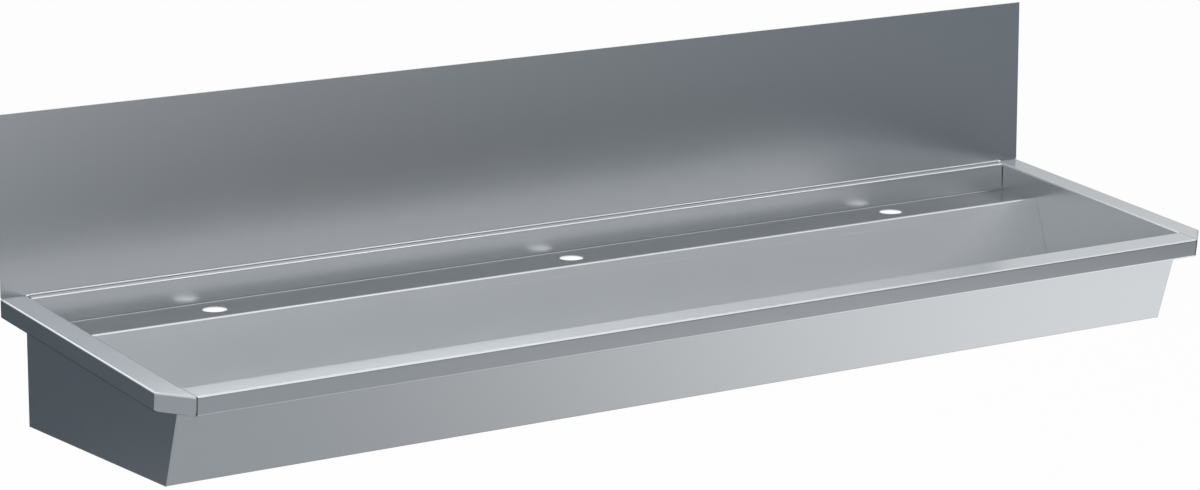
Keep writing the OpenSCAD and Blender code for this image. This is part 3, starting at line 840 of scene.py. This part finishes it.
def make_floor():
    """A white floor that shows from above and keeps the trough's shadow."""
    material = new_material("floor")
    tree = material.node_tree
    diffuse = add(tree, "BsdfDiffuse", Color=(*FLOOR_COLOUR, 1))
    light = add(tree, "Emission", Color=(1, 1, 1, 1), Strength=1.0)
    mix = add(tree, "MixShader")
    tree.links.new(seen_share(tree, FLOOR_GLOW_SHARE), mix.inputs["Fac"])
    tree.links.new(diffuse.outputs["BSDF"], mix.inputs[1])
    tree.links.new(light.outputs["Emission"], mix.inputs[2])
    one_sided(tree, mix.outputs["Shader"])
    floor = plane("floor", FLOOR_SIZE, FLOOR_SIZE, material)
    floor.location.z = FLOOR_Z


def make_card(name, place, width, height, material):
    """A studio card that shows only in reflections."""
    card = plane(name, width, height, material)
    card.location = place
    card.visible_camera = False
    card.visible_diffuse = False
    card.visible_transmission = False
    card.visible_shadow = False
    return card


def make_upright_card(name, material, azimuth, distance, width, low, high):
    """A card that faces the trough's middle from an azimuth, between two elevations in degrees."""
    bottom = distance * math.tan(math.radians(low))
    top = distance * math.tan(math.radians(high))
    place = point_at(azimuth, 0, distance)
    place.z += (bottom + top) / 2
    card = make_card(name, place, width, top - bottom, material)
    card.rotation_euler = (-math.pi / 2, 0, math.radians(azimuth))


def make_cards():
    """All cards: floor, front, left, rear and side cards, and those for the bowl and the tap holes."""
    floor_glow = spotted_glow("floor_card", FLOOR_CARD_LEVEL, FLOOR_CARD_SPOTS)
    make_card("floor_card", (0, 0, FLOOR_Z + FLOOR_CARD_LIFT), FLOOR_CARD_SIZE, FLOOR_CARD_SIZE, floor_glow)
    for number, band in enumerate(FRONT_BANDS):
        name = f"front_band_{number}"
        band_glow = glow(name, *band["levels"])
        make_upright_card(name, band_glow, low=band["low"], high=band["high"], **FRONT_CARDS)
    make_upright_card("left_card", glow("left_card", LEFT_LEVEL, LEFT_LEVEL), **LEFT_CARD)
    make_upright_card("rear_card", glow("rear_card", REAR_LEVEL_TOP, REAR_LEVEL_FOOT, "Y"), **REAR_CARD)
    for name, foot, head, level in SIDE_CARDS:
        place = (SIDE_CARD_X, SIDE_CARD_Y, (foot + head) / 2)
        side = make_card(name, place, SIDE_CARD_WIDTH, head - foot, glow(name, level, level))
        side.rotation_euler = (math.pi / 2, 0, 0)
    bowl = make_card("bowl_card", BOWL_CARD_PLACE, *BOWL_CARD_SIZE, glow("bowl_card", *BOWL_CARD_LEVELS))
    bowl.rotation_euler = (math.radians(BOWL_CARD_TURN), 0, 0)
    for number, x in enumerate(TAP_HOLES_X):
        name = f"hole_card_{number}"
        hole_glow = glow(name, HOLE_CARD_LEVEL, HOLE_CARD_LEVEL)
        make_card(name, (x, HOLE_CARD_Y, HOLE_CARD_Z), HOLE_CARD_SIZE, HOLE_CARD_SIZE, hole_glow)


def make_lamp(name, place, width, height, level):
    """A soft box, aimed at the trough's middle, that adds about that level to the room's light where it is
    mirrored."""
    data = bpy.data.lights.new(name, "AREA")
    data.shape = "RECTANGLE"
    data.size = width
    data.size_y = height
    data.energy = level * math.pi * width * height
    lamp = bpy.data.objects.new(name, data)
    lamp.location = place
    aim(lamp, TROUGH_MIDDLE)
    bpy.context.scene.collection.objects.link(lamp)


def make_lamps():
    """A wide lamp overhead, and a small one behind on the left."""
    make_lamp("overhead", OVERHEAD_PLACE, *OVERHEAD_SIZE, OVERHEAD_LEVEL)
    strip_place = point_at(STRIP_AZIMUTH, STRIP_ELEVATION, STRIP_DISTANCE)
    make_lamp("rear_strip", strip_place, *STRIP_SIZE, STRIP_LEVEL)


materials = dress_all()
make_studs(materials)
make_nuts(materials)
make_waste(materials)
make_rear_seam(materials)
make_weld_dots(materials)
make_camera()
make_world()
make_floor()
make_cards()
make_lamps()

bpy.context.scene.view_settings.view_transform = "Standard"
